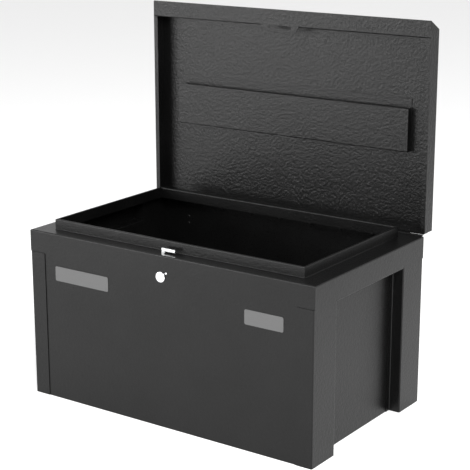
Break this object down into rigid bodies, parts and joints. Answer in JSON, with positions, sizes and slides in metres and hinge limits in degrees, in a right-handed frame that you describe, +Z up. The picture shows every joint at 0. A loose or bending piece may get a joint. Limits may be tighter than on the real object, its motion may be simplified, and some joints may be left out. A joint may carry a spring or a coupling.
{
  "type": "tool chest",
  "caption": "Black sheet-steel tool chest with an open tray lid on a full-width hinge, document pocket, set-in sides and a key-driven hook latch.",
  "frame": {"origin": "centre of the chest's flat underside", "axes": "+X to the chest's right seen from the front, +Y to the back, +Z up; the lid stands open along +Z"},
  "size_m": [0.7, 0.4615, 0.7981],
  "materials": {
    "black_powder_coat": "black powder coat with a fine even grain, semi-matt",
    "lid_powder_coat": "black powder coat with a fine even grain, semi-matt",
    "hinge_paint": "black paint over the hinge, slightly smoother than the sheet",
    "zinc_steel": "bright zinc plate",
    "lock_chrome": "bright nickel-chrome plate",
    "badge_plate": "plain dark neutral plate, satin",
    "bumper_rubber": "matt black rubber"
  },
  "bodies": {
    "chest": {"front_sheet": "black_powder_coat", "back_sheet": "black_powder_coat", "left_rail": "black_powder_coat", "right_rail": "black_powder_coat", "left_panel": "black_powder_coat", "right_panel": "black_powder_coat", "left_front_post": "black_powder_coat", "left_back_post": "black_powder_coat", "right_front_post": "black_powder_coat", "right_back_post": "black_powder_coat", "left_stop": "black_powder_coat", "right_stop": "black_powder_coat", "left_bumper": "bumper_rubber", "right_bumper": "bumper_rubber", "floor_panel": "black_powder_coat", "stop_rivets": "hinge_paint", "left_badge": "badge_plate", "right_badge": "badge_plate", "hinge_body_leaf": "hinge_paint", "hinge_pin": "zinc_steel", "hinge_body_rivets": "hinge_paint", "lock_body": "lock_chrome", "lock_nut": "zinc_steel", "latch_carrier": "zinc_steel", "guide_rivets": "zinc_steel", "lock_stud": "lock_chrome"},
    "lid": {"lid_tray": "lid_powder_coat", "lid_channel": "lid_powder_coat", "document_pocket": "lid_powder_coat", "hinge_lid_leaf": "hinge_paint", "hinge_lid_rivets": "hinge_paint"},
    "lock_core": {"lock_plug": "lock_chrome", "lock_cam": "zinc_steel"},
    "latch": {"latch_slide": "zinc_steel"}
  },
  "joints": [
    {"name": "lid_hinge", "type": "hinge", "parent": "chest", "child": "lid", "pos_m": [0, 0.2127, 0.3589], "axis": [1, 0, 0], "range_deg": [0, 90]},
    {"name": "lock_turn", "type": "hinge", "parent": "chest", "child": "lock_core", "pos_m": [-0.0054, -0.209, 0.3163], "axis": [0, 1, 0], "range_deg": [0, 90]},
    {"name": "latch_slide", "type": "slide", "parent": "chest", "child": "latch", "axis": [1, 0, 0], "range_m": [0, 0.01838]}
  ],
  "couplings": [
    {"joint": "lock_turn", "follows": "latch_slide", "rad_per_m": 85.44}
  ]
}
